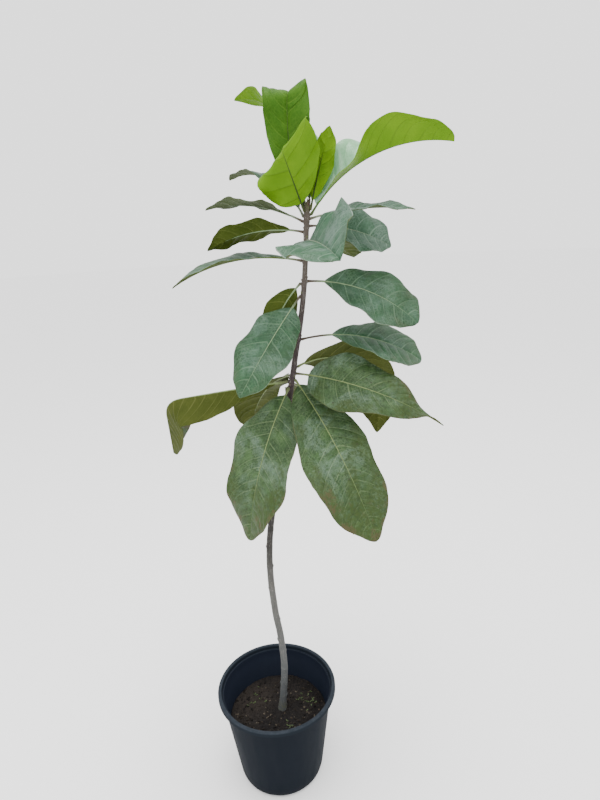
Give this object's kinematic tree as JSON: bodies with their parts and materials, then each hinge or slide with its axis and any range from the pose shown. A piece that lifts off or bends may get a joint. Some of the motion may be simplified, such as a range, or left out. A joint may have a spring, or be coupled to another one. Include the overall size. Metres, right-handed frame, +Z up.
{
  "type": "potted mango tree sapling",
  "caption": "Young broad-leaved fruit tree on one slender leaning stem, with bright new leaves round its tip, growing in a round dark nursery pot of soil.",
  "frame": {"origin": "middle of the pot's flat underside", "axes": "+Z up along the plant's height, -Y towards the side that the picture shows, +X to its right"},
  "size_m": [0.4128, 0.2992, 1.0958],
  "materials": {
    "pot_plastic": "satin dark blue-grey moulded plastic",
    "soil": "rough damp potting soil",
    "bark": "rough young bark, grey at the foot",
    "leaf": "leathery mature leaf, dusty green above and olive below",
    "young_leaf": "soft new leaf, yellow-green"
  },
  "bodies": {
    "root": {"pot": "pot_plastic", "soil": "soil", "trunk": "bark", "leaf_01": "leaf", "leaf_02": "leaf", "leaf_03": "leaf", "leaf_04": "leaf", "leaf_05": "leaf", "leaf_06": "leaf", "leaf_07": "leaf", "leaf_08": "leaf", "leaf_09": "leaf", "leaf_10": "leaf", "leaf_11": "leaf", "leaf_12": "leaf", "leaf_13": "leaf", "leaf_14": "leaf", "leaf_15": "leaf", "leaf_16": "leaf", "leaf_17": "leaf", "leaf_18": "leaf", "leaf_19": "leaf", "leaf_20": "young_leaf", "leaf_21": "young_leaf", "leaf_22": "young_leaf", "leaf_23": "young_leaf", "leaf_24": "young_leaf", "leaf_25": "young_leaf"}
  },
  "joints": []
}
